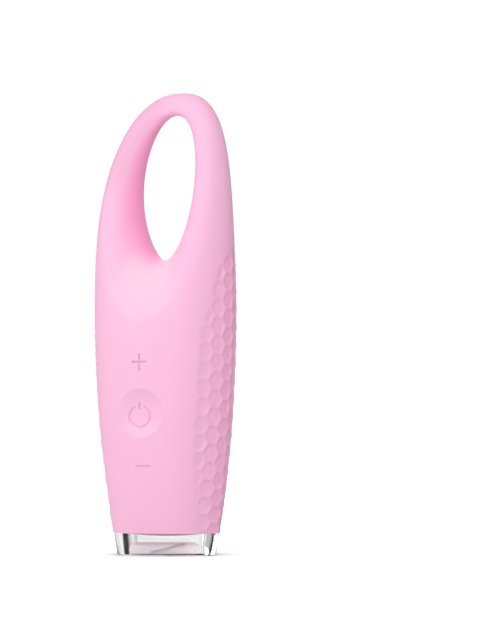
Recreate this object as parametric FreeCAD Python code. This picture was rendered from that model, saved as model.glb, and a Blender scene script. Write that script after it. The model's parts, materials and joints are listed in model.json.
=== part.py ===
import FreeCAD
import Part
import math
import os

# Eye massager, millimetres. Z is up from the foot, the keys face minus Y, X is the width.

# Outer form of the sleeve
height = 130.7
base_height = 6.2
widest_z = 71.1
half_width = 21.2
foot_half_width = 16.4
half_depth = 15.2
foot_half_depth = 9.3
loop_half_depth = 12.2
loop_hole_z = 103.4
loop_hole_half_width = 9.8
loop_hole_half_height = 20.7
front_scoop = 1.9
back_scoop = 3.5
lean_back = 9.1
lean_start_z = 84.4

# How the form tapers to the foot, rounds over at the crown and slims towards the loop
width_power = 1.9
depth_power = 2.9
outline_power = 2.42
crown_power = 2.77
slim_below = 9.8
slim_above = 4.4

# Walls and fits
sleeve_wall = 2.0
shell_wall = 1.5
sleeve_gap = 0.05
slip_gap = 0.1
touch_gap = 0.02
roof_z = 75.0

# Clear foot, the insert on its floor, the plug above it and its seal
foot_inset = 0.25
foot_taper = 1.0
foot_edge = 0.5
foot_wall = 5.0
foot_floor = 1.0
cavity_taper = 0.3
insert_height = 3.0
insert_round = 2.2
insert_steps = 6
insert_gap = 0.2
plug_height = 3.5
plug_dome = 0.3
seal_thick = 0.7

# Keys on the front
power_z = 39.7
power_radius = 7.0
plus_z = 54.0
minus_z = 25.0
small_key_radius = 4.5
key_gap = 0.1
key_thick = 1.5
key_travel = 0.4
dish_step = 0.35
dish_depth = 0.35
mark_width = 0.62
mark_depth = 0.3
plus_span = 4.9
minus_span = 4.9
power_mark_radius = 2.95
power_mark_stretch = 1.1
power_mark_x = -0.65
power_mark_drop = 0.87
power_mark_gap = 2.6
power_tick_in = 1.0
power_tick_out = 0.8
flange_inset = 1.6
flange_thick = 1.2
aperture_gap = 0.3
plunger_stem_radius = 1.5

# Switches and main board
key_stack = 6.8
board_thick = 1.2
board_width = 18.4
board_low_z = 17.0
board_high_z = 60.0
board_screw_x = 6.8
board_screw_low_z = 19.4
board_screw_high_z = 57.4
switch_size = 4.6
switch_height = 2.0
switch_stem_radius = 1.0
switch_stem_out = 1.0
switch_stem_in = 0.9
chip_size = 5.0
chip_thick = 0.9
chip_x = 5.4
chip_z = 46.8
charger_size = 3.0
inductor_size = 4.0
inductor_thick = 2.0
inductor_z = 32.2
capacitor_width = 0.9
capacitor_length = 1.7
capacitor_spots = [(3.6, 50.6), (-3.6, 50.6), (4.6, 34.0), (6.6, 34.0), (4.4, 27.8), (-4.6, 27.4)]
lamp_width = 1.6
lamp_tall = 0.9
lamp_thick = 0.7
socket_thick = 3.0

# Battery
cell_radius = 5.0
cell_length = 28.0
cell_low_z = 24.6
foam_thick = 1.6
tab_thick = 0.15
tab_width = 2.0
foam_width = 6.4
foam_end = 3.0
rib_thick = 1.6
rib_side = 1.5
rib_end = 4.0
shelf_thick = 1.7
shelf_drop = 0.3

# Motors
motor_x = 8.0
motor_low_z = 55.0
motor_radius = 3.5
motor_length = 12.0
motor_wall = 0.4
motor_face = 0.8
motor_cap_thick = 1.4
shaft_seat = 0.7
bush_length = 2.1
bush_out = 0.5
rotor_end = 1.2
weight_hub_radius = 1.2
weight_gap = 1.2
motor_shaft_radius = 0.5
bush_radius = 1.2
bush_gap = 0.03
rotor_radius = 2.4
weight_radius = 3.0
weight_length = 4.0
boot_radius = 4.5
boot_flange = 0.7
boot_flange_thick = 1.0
tray_low_z = 59.5
tray_thick = 2.0
tray_board_gap = 0.6
ledge_thick = 1.0
ledge_reach = 1.0
ledge_start_y = 4.0

# Flexible core of the loop
core_radius = 1.5
core_flange_radius = 2.4
core_flange_thick = 1.2

# Charge jack in the back
jack_z = 17.0
jack_radius = 3.0
jack_nose_radius = 2.2
jack_bore_radius = 1.25
jack_bore_length = 7.0
jack_inner_y = 0.4
jack_nose_clear = 0.15
jack_shoulder_clear = 0.45
jack_seal_thick = 0.35
port_lip = 0.4
jack_lead_x = 1.3
jack_lead_up = 1.4

# Shell screws, each as side and height
shell_screw_spots = [(-13.0, 46.0), (13.0, 46.0), (-9.5, 14.5), (9.5, 14.5), (0.0, 68.0)]
screw_radius = 0.78
screw_pilot_gap = 0.03
screw_pass_radius = 1.1
screw_head_radius = 1.8
screw_head_thick = 1.2
boss_radius = 2.2
board_boss_radius = 1.7
board_shank_radius = 0.66
board_head_radius = 1.5
board_head_thick = 0.9
board_hole_gap = 0.2
board_bite_wall = 0.7
screw_bite_most = 6.0
screw_cover = 0.5
screw_tube_wall = 1.1
slot_depth = 0.5
slot_width = 0.5
slot_length = 2.4

# Leads
lead_radius = 0.45
lead_bend = 1.2
lead_pitch = 1.0
lead_stand_off = 1.3
lead_spread = 3.0
motor_lead_drop = 3.2

# Larger than the part in every direction, for cutting tools
beyond = 60.0


def vec(x, y, z):
    return FreeCAD.Vector(x, y, z)


def cylinder_y(x, z, radius, y0, y1):
    return Part.makeCylinder(radius, y1 - y0, vec(x, y0, z), vec(0, 1, 0))


def cylinder_z(x, y, radius, z0, z1):
    return Part.makeCylinder(radius, z1 - z0, vec(x, y, z0))


def block(x0, x1, y0, y1, z0, z1):
    return Part.makeBox(x1 - x0, y1 - y0, z1 - z0, vec(x0, y0, z0))


def moved(shape, dx, dy, dz):
    copy = shape.copy()
    copy.translate(vec(dx, dy, dz))
    return copy


def one_solid(shape):
    clean = shape.removeSplitter()
    return clean.Solids[0] if len(clean.Solids) == 1 else clean


# Form of the sleeve: side to side span, front to back span and the pinch round the loop hole

def width_at(z):
    drop = max(0.0, (widest_z - z) / (widest_z - base_height))
    return half_width - (half_width - foot_half_width) * drop ** width_power


def depth_at(z):
    drop = max(0.0, (widest_z - z) / (widest_z - base_height))
    low = half_depth - (half_depth - foot_half_depth) * drop ** depth_power
    slim_span = loop_hole_z + slim_above - widest_z + slim_below
    rise = min(1.0, max(0.0, (z - widest_z + slim_below) / slim_span))
    return low - (half_depth - loop_half_depth) * rise * rise * (3.0 - 2.0 * rise)


def lean_at(z):
    share = max(0.0, z - lean_start_z) / (height - lean_start_z)
    return lean_back * share * share


def crown(z):
    return max(0.0, (z - widest_z) / (height - widest_z)) ** crown_power


def outline_field(x, z):
    below = max(0.0, (base_height - z) / (2.0 * base_height)) ** 2
    return 1.0 - (abs(x) / width_at(z)) ** outline_power - crown(z) - below


def hole_field(x, z, side):
    ring = math.hypot(x / loop_hole_half_width, (z - loop_hole_z) / loop_hole_half_height)
    if ring <= 1.0:
        return 0.0
    power = back_scoop
    if side == "front":
        far = min(1.0, ring - 1.0)
        power = front_scoop + (back_scoop - front_scoop) * far * far * (3.0 - 2.0 * far)
    return 1.0 - ring ** -power


def half_thickness(x, z, side):
    return depth_at(z) * math.sqrt(max(0.0, outline_field(x, z) * hole_field(x, z, side)))


def outline_reach(c, s):
    near = 1.0
    far = 12.0
    for step in range(60):
        mid = (near + far) / 2.0
        x = loop_hole_half_width * mid * c
        z = loop_hole_z + loop_hole_half_height * mid * s
        if outline_field(x, z) > 0.0:
            near = mid
        else:
            far = mid
    return near


def outer_form():
    around = 64
    across = 36
    poles = []
    for i in range(around):
        c = math.cos(2.0 * math.pi * i / around)
        s = math.sin(2.0 * math.pi * i / around)
        far = outline_reach(c, s)
        row = []
        for j in range(across):
            turn = 2.0 * math.pi * j / across
            ring = 1.0 + (far - 1.0) * (1.0 - math.cos(turn)) / 2.0
            x = loop_hole_half_width * ring * c
            z = loop_hole_z + loop_hole_half_height * ring * s
            if j * 2 < across:
                y = lean_at(z) - half_thickness(x, z, "front")
            else:
                y = lean_at(z) + half_thickness(x, z, "back")
            row.append(vec(x, y, z))
        poles.append(row)
    surface = Part.BSplineSurface()
    surface.buildFromPolesMultsKnots(
        poles, [1] * (around + 1), [1] * (across + 1),
        list(range(around + 1)), list(range(across + 1)), True, True, 3, 3)
    solid = Part.Solid(Part.Shell([surface.toShape()]))
    if solid.Volume < 0.0:
        solid.reverse()
    return solid


def closed_curve(points):
    curve = Part.BSplineCurve()
    steps = [float(k) for k in range(len(points) + 1)]
    curve.interpolate(Points=points, PeriodicFlag=True, Parameters=steps)
    return Part.Wire(curve.toShape())


def oval(x_half, y_half, z, inset, pinched):
    around = 40
    points = []
    for k in range(around):
        turn = 2.0 * math.pi * k / around
        share = math.copysign(abs(math.cos(turn)) ** (2.0 / outline_power), math.cos(turn))
        deep = y_half
        if pinched:
            side = "back" if math.sin(turn) > 0.0 else "front"
            deep = y_half * math.sqrt(hole_field(x_half * share, z, side))
        points.append(vec((x_half - inset) * share, (deep - inset) * math.sin(turn), z))
    return closed_curve(points)


def inner_form(inset, z0, z1):
    low = base_height - 4.0
    high = roof_z + 4.0
    layers = 9
    wires = []
    for k in range(layers):
        z = low + (high - low) * k / (layers - 1)
        crop = 1.0 - crown(z)
        span_x = width_at(z) * crop ** (1.0 / outline_power)
        span_y = depth_at(z) * math.sqrt(crop)
        wires.append(oval(span_x, span_y, z, inset, True))
    body = Part.makeLoft(wires, True, False)
    return body.common(block(-beyond, beyond, -beyond, beyond, z0, z1))


shell_outside = sleeve_wall + sleeve_gap
shell_inside = shell_outside + shell_wall
shell_low_z = base_height + touch_gap + seal_thick + touch_gap


def front_y(z):
    return -half_thickness(0.0, z, "front")


def on_front(shape, z):
    # Places a shape drawn with X right, Y up and Z outward onto the front at height z
    reach = small_key_radius / 9.0
    slope = (front_y(z - reach) - front_y(z + reach)) / (2.0 * reach)
    k = math.hypot(1.0, slope)
    spot = FreeCAD.Matrix(
        1, 0, 0, 0, 0, -slope / k, -1 / k, front_y(z), 0, 1 / k, -slope / k, z, 0, 0, 0, 1)
    shape.Placement = FreeCAD.Placement(spot)
    return shape


board_front = front_y(minus_z) + key_stack
board_back = board_front + board_thick
switch_front = board_front - switch_height
stem_tip = switch_front - switch_stem_out
cell_y = board_back + touch_gap + foam_thick + touch_gap + cell_radius
motor_y = round((board_back + half_thickness(motor_x, motor_low_z, "back") - shell_inside) / 2.0, 1)
key_list = [("plus", plus_z, small_key_radius), ("power", power_z, power_radius),
            ("minus", minus_z, small_key_radius)]


# Loop core

core_foot_z = roof_z - shell_wall - touch_gap - core_flange_thick
core_leg_x = loop_hole_half_width * (1.0 + outline_reach(1.0, 0.0)) / 2.0


def core_line():
    # Guide points from the right foot over the crown to the left foot
    leg_steps = 8
    crown_steps = 9
    right = []
    for k in range(leg_steps):
        z = core_foot_z + (loop_hole_z - core_foot_z) * k / leg_steps
        right.append(vec(core_leg_x, lean_at(z), z))
    for k in range(crown_steps + 1):
        c = math.cos(0.5 * math.pi * k / crown_steps)
        s = math.sin(0.5 * math.pi * k / crown_steps)
        ring = (1.0 + outline_reach(c, s)) / 2.0
        z = loop_hole_z + loop_hole_half_height * ring * s
        right.append(vec(loop_hole_half_width * ring * c, lean_at(z), z))
    return right + [vec(-p.x, p.y, p.z) for p in reversed(right[:-1])]


def core_tube(radius):
    line = core_line()
    around = 16
    spread = radius * 3.0 / (2.0 + math.cos(2.0 * math.pi / around))
    rings = []
    for k, here in enumerate(line):
        along = line[min(k + 1, len(line) - 1)].sub(line[max(k - 1, 0)])
        along.normalize()
        first = vec(0, 1, 0).cross(along)
        first.normalize()
        second = along.cross(first)
        ring = []
        for j in range(around):
            turn = 2.0 * math.pi * j / around
            out = first * (spread * math.cos(turn)) + second * (spread * math.sin(turn))
            ring.append(here.add(out))
        rings.append(ring)
    poles = [[ring[j] for ring in rings] for j in range(around)]
    count = len(line)
    surface = Part.BSplineSurface()
    surface.buildFromPolesMultsKnots(
        poles, [1] * (around + 1), [4] + [1] * (count - 4) + [4],
        list(range(around + 1)), list(range(count - 2)), True, False, 3, 3)
    side = surface.toShape()
    rims = [edge for edge in side.Edges if edge.isClosed() and edge.BoundBox.ZLength < touch_gap]
    skin = Part.Shell([side] + [Part.Face(Part.Wire(rim)) for rim in rims])
    skin.sewShape()
    tube = Part.Solid(skin)
    if tube.Volume < 0.0:
        tube.reverse()
    return tube


def loop_core():
    core = core_tube(core_radius)
    for x in (-core_leg_x, core_leg_x):
        core = core.fuse(cylinder_z(x, 0, core_flange_radius, core_foot_z, core_foot_z + core_flange_thick))
    return one_solid(core)


# Sleeve and keys

def silicone_sleeve(form):
    sleeve = form.common(block(-beyond, beyond, -beyond, beyond, base_height + touch_gap, 2.0 * height))
    sleeve = sleeve.cut(inner_form(sleeve_wall, base_height - 2.0, roof_z + touch_gap))
    for name, z, radius in key_list:
        deep = front_y(z) + 3.0 * sleeve_wall
        sleeve = sleeve.cut(cylinder_y(0, z, radius + key_gap, -beyond, deep))
    sleeve = sleeve.cut(core_tube(core_radius + sleeve_gap))
    return one_solid(sleeve.cut(cylinder_y(0, jack_z, jack_nose_radius - port_lip, 0, beyond)))


def mark_bar(width, tall):
    return block(-width / 2, width / 2, -tall / 2, tall / 2, -mark_depth, key_thick)


def mark_oval(half_stroke, floor, top):
    middle = vec(power_mark_x, -power_mark_drop, floor)
    half_width = power_mark_radius * power_mark_stretch + half_stroke
    curve = Part.Ellipse(middle, half_width, power_mark_radius + half_stroke)
    return Part.Face(Part.Wire(curve.toShape())).extrude(vec(0, 0, top - floor))


def key_pad(form, name, z, radius):
    step = dish_step if name == "power" else 0.0
    pad = moved(form, 0, step, 0).common(cylinder_y(0, z, radius, -beyond, 0))
    pad = pad.cut(moved(form, 0, key_thick, 0))
    if name == "power":
        ball_radius = (radius * radius + dish_depth * dish_depth) / (2.0 * dish_depth)
        low = step + dish_depth
        pad = pad.cut(on_front(Part.makeSphere(ball_radius, vec(0, 0, ball_radius - low)), z))
        floor = -low - mark_depth
        ring = mark_oval(mark_width / 2, floor, radius).cut(mark_oval(-mark_width / 2, floor, radius))
        gap_left = power_mark_x - power_mark_gap / 2
        ring = ring.cut(block(gap_left, gap_left + power_mark_gap, -power_mark_drop, radius, -radius, radius))
        pad = pad.cut(on_front(ring, z))
        tick_left = power_mark_x - mark_width / 2
        ring_top = power_mark_radius - power_mark_drop
        tick = block(tick_left, tick_left + mark_width, ring_top - power_tick_in, ring_top + power_tick_out,
                     floor, key_thick)
        return one_solid(pad.cut(on_front(tick, z)))
    if name == "plus":
        cross = mark_bar(plus_span, mark_width).fuse(mark_bar(mark_width, plus_span))
        return one_solid(pad.cut(on_front(cross, z)))
    return one_solid(pad.cut(on_front(mark_bar(minus_span, mark_width), z)))


def key_plunger(form, z, radius):
    flange_radius = radius - flange_inset
    seat = front_y(z) + key_thick + touch_gap + flange_thick
    flange = moved(form, 0, key_thick + touch_gap, 0).common(cylinder_y(0, z, flange_radius, -beyond, seat))
    stem = cylinder_y(0, z, plunger_stem_radius, seat - flange_thick / 4, stem_tip - touch_gap)
    return one_solid(flange.fuse(stem))


def switch_case(z):
    half = switch_size / 2
    case = block(-half, half, switch_front, board_front, z - half, z + half)
    deep = switch_stem_in + key_travel + slip_gap
    return case.cut(cylinder_y(0, z, switch_stem_radius + slip_gap, stem_tip, switch_front + deep))


def switch_stem(z):
    return cylinder_y(0, z, switch_stem_radius, stem_tip, switch_front + switch_stem_in)


# Shells

def shell_half(side):
    shell = inner_form(shell_outside, shell_low_z, roof_z)
    shell = shell.cut(inner_form(shell_inside, shell_low_z - 1.0, roof_z - shell_wall))
    for x in (-core_leg_x, core_leg_x):
        shell = shell.cut(cylinder_z(x, 0, core_radius + slip_gap, core_foot_z, roof_z + shell_wall))
    if side == "front":
        return shell.common(block(-beyond, beyond, -beyond, -touch_gap / 2, 0, height))
    return shell.common(block(-beyond, beyond, touch_gap / 2, beyond, 0, height))


def front_shell():
    shell = shell_half("front")
    room = inner_form(shell_outside + shell_wall / 2, shell_low_z, roof_z - shell_wall / 2)
    for x, z in shell_screw_spots:
        shell = shell.fuse(cylinder_y(x, z, boss_radius, -beyond, -touch_gap / 2).common(room))
    for x in (-board_screw_x, board_screw_x):
        for z in (board_screw_low_z, board_screw_high_z):
            boss = cylinder_y(x, z, board_boss_radius, -beyond, board_front - touch_gap)
            shell = shell.fuse(boss.common(room))
    for x, z in shell_screw_spots:
        low = -screw_bite(x, z) - slip_gap
        shell = shell.cut(cylinder_y(x, z, screw_radius + screw_pilot_gap, low, touch_gap))
    for x in (-board_screw_x, board_screw_x):
        for z in (board_screw_low_z, board_screw_high_z):
            low = board_shank_end() - slip_gap
            shell = shell.cut(cylinder_y(x, z, board_shank_radius + screw_pilot_gap, low, board_back))
    for name, z, radius in key_list:
        aperture = radius - flange_inset + aperture_gap
        shell = shell.cut(cylinder_y(0, z, aperture, -beyond, switch_front - slip_gap))
    return one_solid(shell)


def screw_bite(x, z):
    return min(screw_bite_most, half_thickness(x, z, "front") - shell_inside)


def board_shank_end():
    return -half_thickness(board_screw_x, board_screw_low_z, "front") + shell_outside + board_bite_wall


def screw_seat(x, z):
    # Plane the head bears on, set so that the head stays under the skin of the shell
    edge = abs(x) + screw_head_radius
    low = half_thickness(edge, z - screw_head_radius, "back")
    high = half_thickness(edge, z + screw_head_radius, "back")
    return min(low, high) - shell_outside - screw_head_thick - screw_cover


def rear_shell():
    shell = shell_half("rear")
    room = inner_form(shell_outside + shell_wall / 2, shell_low_z, roof_z - shell_wall / 2)
    for x, z in shell_screw_spots:
        tube = cylinder_y(x, z, screw_head_radius + screw_tube_wall, touch_gap / 2, beyond)
        shell = shell.fuse(tube.common(room))
    for x, z in shell_screw_spots:
        shell = shell.cut(cylinder_y(x, z, screw_pass_radius, 0, beyond))
        shell = shell.cut(cylinder_y(x, z, screw_head_radius + slip_gap, screw_seat(x, z), beyond))
    rib_x = cell_radius + rib_side
    rib_y = cell_y + tab_width / 2 + slip_gap
    for z in (cell_low_z + rib_end, cell_low_z + cell_length - rib_end - rib_thick):
        shell = shell.fuse(block(-rib_x, rib_x, rib_y, beyond, z, z + rib_thick).common(room))
    shelf_top = cell_low_z - shelf_drop
    shelf_low = shelf_top - shelf_thick
    shelf = block(-rib_x, cell_radius - tab_width / 2, cell_y - tab_width, beyond, shelf_low, shelf_top)
    shell = shell.fuse(shelf.common(room))
    cell_floor = cell_low_z - tab_thick - slip_gap
    cell_roof = cell_low_z + cell_length + rib_end
    shell = shell.cut(cylinder_z(0, cell_y, cell_radius + slip_gap, cell_floor, cell_roof))
    ledge_low = tray_low_z - ledge_thick
    ledge = inner_form(shell_inside - shell_wall / 3, ledge_low, tray_low_z - touch_gap)
    inside = inner_form(shell_inside + ledge_reach, ledge_low - ledge_thick, tray_low_z + ledge_thick)
    ledge = ledge.cut(inside)
    shell = shell.fuse(ledge.common(block(-beyond, beyond, ledge_start_y, beyond, 0, height)))
    return one_solid(shell.cut(cylinder_y(0, jack_z, jack_nose_radius + slip_gap, jack_inner_y, beyond)))


def shell_screws():
    screws = []
    for x, z in shell_screw_spots:
        seat = screw_seat(x, z) + touch_gap
        top = seat + screw_head_thick
        head = cylinder_y(x, z, screw_head_radius, seat, top)
        for wide, tall in ((slot_length / 2, slot_width / 2), (slot_width / 2, slot_length / 2)):
            head = head.cut(block(x - wide, x + wide, top - slot_depth, top, z - tall, z + tall))
        shank = cylinder_y(x, z, screw_radius, -screw_bite(x, z), seat + touch_gap)
        screws.append(head.fuse(shank).removeSplitter())
    return Part.makeCompound([s.Solids[0] for s in screws])


# Foot

def clear_base():
    wires = []
    rounded = 0.3 * foot_edge
    for z, inset in ((0.0, foot_edge), (rounded, rounded), (foot_edge, 0.0), (base_height, 0.0)):
        share = foot_taper * (1.0 - z / base_height)
        wires.append(oval(foot_half_width, foot_half_depth, z, foot_inset + share + inset, False))
    foot = Part.makeLoft(wires, True, True)
    floor_wire = oval(foot_half_width, foot_half_depth, foot_floor, foot_wall + cavity_taper, False)
    rim_wire = oval(foot_half_width, foot_half_depth, base_height, foot_wall, False)
    return one_solid(foot.cut(Part.makeLoft([floor_wire, rim_wire], True, True)))


def ellipsoid(inset, rise, z):
    stretch = FreeCAD.Matrix()
    stretch.scale(foot_half_width - inset, foot_half_depth - inset, rise)
    return moved(Part.makeSphere(1.0).transformGeometry(stretch), 0, 0, z)


def foot_insert():
    low = foot_floor + touch_gap
    inset = foot_wall + cavity_taper + insert_gap
    wires = [oval(foot_half_width, foot_half_depth, low, inset, False)]
    for k in range(insert_steps + 1):
        turn = math.pi / 2 * k / insert_steps
        z = low + insert_height - insert_round * (1.0 - math.sin(turn))
        lost = inset + insert_round * (1.0 - math.cos(turn))
        wires.append(oval(foot_half_width, foot_half_depth, z, lost, False))
    return one_solid(Part.makeLoft(wires, True, True))


def base_plug():
    low = base_height + touch_gap
    plug = inner_form(shell_inside + slip_gap, low, base_height + plug_height)
    return one_solid(plug.fuse(ellipsoid(foot_wall + insert_gap, plug_dome, low)))


def base_seal():
    low = base_height + touch_gap
    ring = inner_form(shell_outside + slip_gap, low, low + seal_thick)
    return ring.cut(inner_form(shell_inside + slip_gap - touch_gap, low - 1.0, low + seal_thick + 1.0))


# Board and what it carries

def main_board():
    board = block(-board_width / 2, board_width / 2, board_front, board_back, board_low_z, board_high_z)
    for x in (-board_screw_x, board_screw_x):
        for z in (board_screw_low_z, board_screw_high_z):
            board = board.cut(cylinder_y(x, z, board_shank_radius + board_hole_gap, -beyond, beyond))
    return board


def board_screws():
    screws = []
    for x in (-board_screw_x, board_screw_x):
        for z in (board_screw_low_z, board_screw_high_z):
            seat = board_back + touch_gap
            top = seat + board_head_thick
            head = cylinder_y(x, z, board_head_radius, seat, top)
            head = head.cut(block(x - slot_length / 2, x + slot_length / 2, top - slot_depth, top,
                                  z - slot_width / 2, z + slot_width / 2))
            shank = cylinder_y(x, z, board_shank_radius, board_shank_end(), seat + touch_gap)
            screws.append(head.fuse(shank).removeSplitter().Solids[0])
    return Part.makeCompound(screws)


def on_board(x, z, wide, tall, thick):
    return block(x - wide / 2, x + wide / 2, board_front - thick, board_front, z - tall / 2, z + tall / 2)


def behind_board(x, z, wide, tall, thick):
    return block(x - wide / 2, x + wide / 2, board_back, board_back + thick, z - tall / 2, z + tall / 2)


def capacitors():
    wide = capacitor_width
    return Part.makeCompound([on_board(x, z, wide, capacitor_length, wide) for x, z in capacitor_spots])


# Battery

def battery_cell():
    return cylinder_z(0, cell_y, cell_radius, cell_low_z, cell_low_z + cell_length)


lead_x = cell_radius + lead_stand_off
lead_low = cell_low_z + (cell_length + slip_gap) / 2
lead_high = lead_low + lead_spread
socket_rear = board_back + socket_thick


def battery_tabs():
    half = tab_width / 2
    end = lead_x + lead_radius
    low = block(-tab_width, end, cell_y - half, cell_y + half, cell_low_z - tab_thick, cell_low_z)
    return Part.makeCompound([low, moved(low, 0, 0, cell_length + tab_thick)])


def battery_foam():
    low = board_back + touch_gap
    high = cell_y - cell_radius / 2
    foot = cell_low_z + foam_end
    top = cell_low_z + cell_length - foam_end
    foam = block(-foam_width / 2, foam_width / 2, low, high, foot, top)
    return foam.cut(cylinder_z(0, cell_y, cell_radius + touch_gap, 0, height))


def battery_socket():
    tall = lead_spread + 8.0 * lead_radius
    return behind_board(lead_x + slip_gap, (lead_low + lead_high) / 2, 7.0 * lead_radius, tall, socket_thick)


def lead(points, bend):
    # Round lead through the points with a circular bend at each inner one
    edges = []
    start = points[0]
    for k in range(1, len(points) - 1):
        here = points[k]
        back = points[k - 1].sub(here)
        back.normalize()
        on = points[k + 1].sub(here)
        on.normalize()
        entry = here.add(back * bend)
        leave = here.add(on * bend)
        halfway = back.add(on)
        halfway.normalize()
        middle = here.add(halfway * (bend * (math.sqrt(2.0) - 1.0)))
        edges.append(Part.makeLine(start, entry))
        edges.append(Part.Arc(entry, middle, leave).toShape())
        start = leave
    edges.append(Part.makeLine(start, points[-1]))
    along = points[1].sub(points[0])
    profile = Part.Wire(Part.makeCircle(lead_radius, points[0], along))
    return Part.Wire(edges).makePipeShell([profile], True, True)


def battery_leads():
    top = cell_low_z + cell_length
    low = lead([vec(lead_x, cell_y, cell_low_z), vec(lead_x, cell_y, lead_low),
                vec(lead_x, socket_rear, lead_low)], lead_bend)
    high = lead([vec(lead_x, cell_y, top), vec(lead_x, cell_y, lead_high),
                 vec(lead_x, socket_rear, lead_high)], lead_bend)
    return Part.makeCompound([low, high])


# Charge jack

jack_nose_end = half_thickness(0.0, jack_z - jack_nose_radius, "back") - shell_outside - jack_nose_clear
jack_shoulder = half_thickness(jack_radius, jack_z - jack_radius, "back") - shell_inside - jack_shoulder_clear


def charge_jack():
    jack = cylinder_y(0, jack_z, jack_radius, jack_inner_y, jack_shoulder)
    jack = jack.fuse(cylinder_y(0, jack_z, jack_nose_radius, jack_inner_y, jack_nose_end))
    bore = cylinder_y(0, jack_z, jack_bore_radius, jack_nose_end - jack_bore_length, jack_nose_end)
    return one_solid(jack.cut(bore))


def jack_seal():
    ring = cylinder_y(0, jack_z, jack_radius, jack_shoulder, jack_shoulder + jack_seal_thick)
    return ring.cut(cylinder_y(0, jack_z, jack_nose_radius + touch_gap, jack_inner_y, beyond))


def jack_leads():
    leads = []
    for x in (-jack_lead_x, jack_lead_x):
        leads.append(cylinder_y(x, jack_z + jack_lead_up, lead_radius, board_back, jack_inner_y))
    return Part.makeCompound(leads)


# Motors

motor_high_z = motor_low_z + motor_length
weight_low_z = motor_high_z + weight_gap
shaft_low_z = motor_low_z - shaft_seat


def motor_can(x):
    can = cylinder_z(x, motor_y, motor_radius, motor_low_z, motor_high_z)
    can = can.cut(cylinder_z(x, motor_y, motor_radius - motor_wall, motor_low_z, motor_high_z - motor_face))
    return can.cut(cylinder_z(x, motor_y, bush_radius, motor_low_z, motor_high_z))


def motor_cap(x):
    cap = cylinder_z(x, motor_y, motor_radius, motor_low_z - motor_cap_thick, motor_low_z)
    seat_floor = shaft_low_z - slip_gap
    return cap.cut(cylinder_z(x, motor_y, motor_shaft_radius + bush_gap, seat_floor, motor_low_z))


def motor_bush(x):
    top = motor_high_z + bush_out
    bush = cylinder_z(x, motor_y, bush_radius, top - bush_length, top)
    return bush.cut(cylinder_z(x, motor_y, motor_shaft_radius + bush_gap, motor_low_z, top))


def motor_shaft(x):
    return cylinder_z(x, motor_y, motor_shaft_radius, shaft_low_z, weight_low_z + weight_length + slip_gap)


def motor_rotor(x):
    rotor_high_z = motor_high_z + bush_out - bush_length - motor_face
    rotor = cylinder_z(x, motor_y, rotor_radius, motor_low_z + rotor_end, rotor_high_z)
    return rotor.cut(cylinder_z(x, motor_y, motor_shaft_radius, motor_low_z, motor_high_z))


def eccentric_weight(x):
    top = weight_low_z + weight_length
    sector = cylinder_z(x, motor_y, weight_radius, weight_low_z, top)
    sector = sector.cut(block(x - beyond, x + beyond, motor_y, beyond, 0, height))
    weight = sector.fuse(cylinder_z(x, motor_y, weight_hub_radius, weight_low_z, top))
    return one_solid(weight.cut(cylinder_z(x, motor_y, motor_shaft_radius, 0, height)))


def motor_boot(x):
    tray_top = tray_low_z + tray_thick + touch_gap
    boot = cylinder_z(x, motor_y, boot_radius, motor_low_z + motor_wall, motor_high_z - bush_length)
    flange = cylinder_z(x, motor_y, boot_radius + boot_flange, tray_top, tray_top + boot_flange_thick)
    boot = boot.fuse(flange)
    return one_solid(boot.cut(cylinder_z(x, motor_y, motor_radius + touch_gap, 0, height)))


def motor_tray():
    tray = inner_form(shell_inside + slip_gap, tray_low_z, tray_low_z + tray_thick)
    tray = tray.common(block(-beyond, beyond, board_back + tray_board_gap, beyond, 0, height))
    for x in (-motor_x, motor_x):
        tray = tray.cut(cylinder_z(x, motor_y, boot_radius + touch_gap, 0, height))
    return one_solid(tray)


def motor_socket(x):
    z = motor_low_z - motor_cap_thick - motor_lead_drop
    return behind_board(x, z, lead_pitch + 2.6 * lead_radius, 6.6 * lead_radius, socket_thick)


def motor_leads(x):
    top = motor_low_z - motor_cap_thick
    turn = top - motor_lead_drop
    leads = []
    for at in (x - lead_pitch / 2, x + lead_pitch / 2):
        route = [vec(at, motor_y, top), vec(at, motor_y, turn), vec(at, socket_rear, turn)]
        leads.append(lead(route, lead_bend))
    return Part.makeCompound(leads)


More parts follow.
